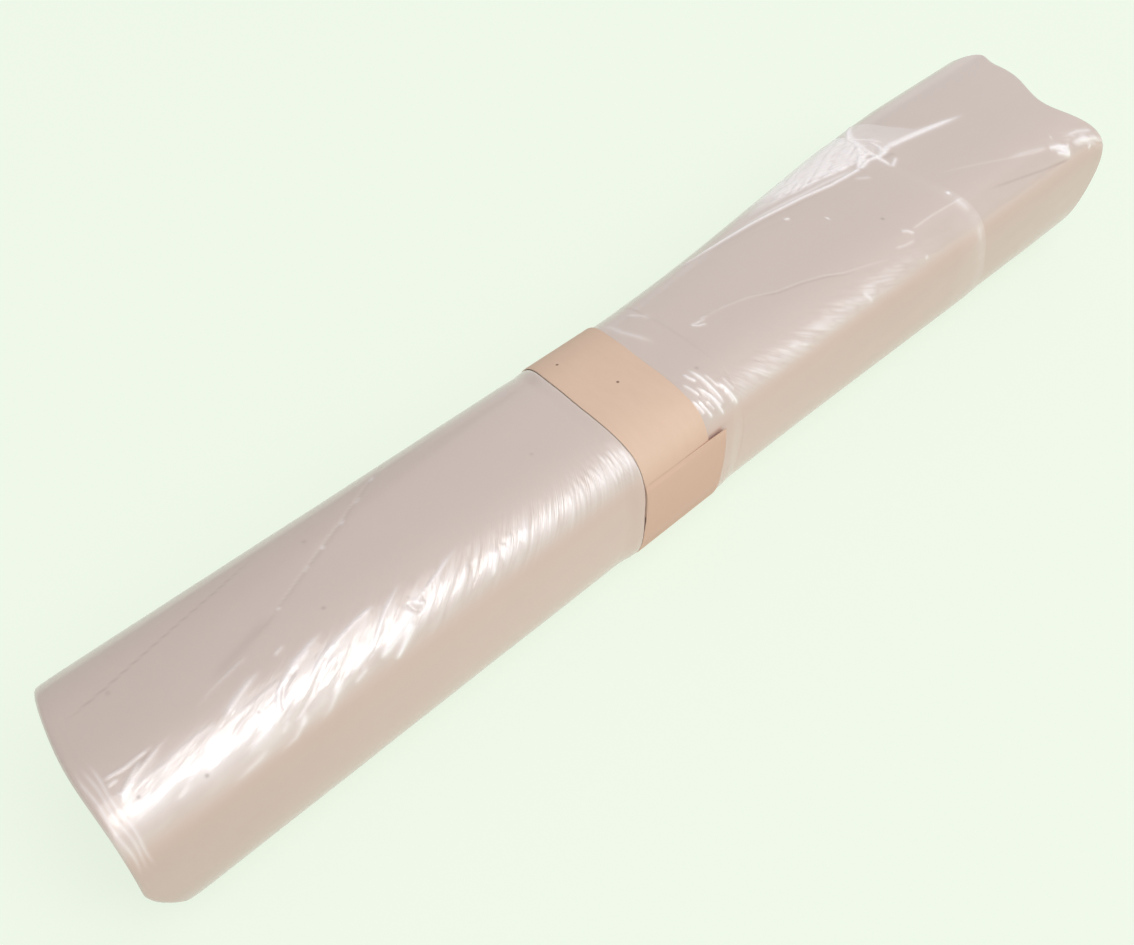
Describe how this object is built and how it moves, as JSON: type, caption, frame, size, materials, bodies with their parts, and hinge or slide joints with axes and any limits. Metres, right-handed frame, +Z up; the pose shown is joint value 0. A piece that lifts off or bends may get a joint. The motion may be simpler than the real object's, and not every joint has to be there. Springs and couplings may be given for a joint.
{
  "type": "bin bag roll",
  "caption": "Soft, slightly flattened roll of clear thin-film bin bags without a core, held by a glued kraft paper band round its waist.",
  "frame": {"origin": "middle of the bounding box on the surface that the roll lies on", "axes": "+X along the roll, from the end nearest the band's straight edge to the end with the wavy rim; +Y from the side with the band's seam to the flared side; +Z up"},
  "size_m": [0.352, 0.0614, 0.0443],
  "materials": {
    "film": "thin glossy film, translucent, wound in many turns",
    "kraft_paper": "smooth buff kraft, matt"
  },
  "bodies": {
    "root": {"bag_roll": "film", "paper_band": "kraft_paper"}
  },
  "joints": []
}
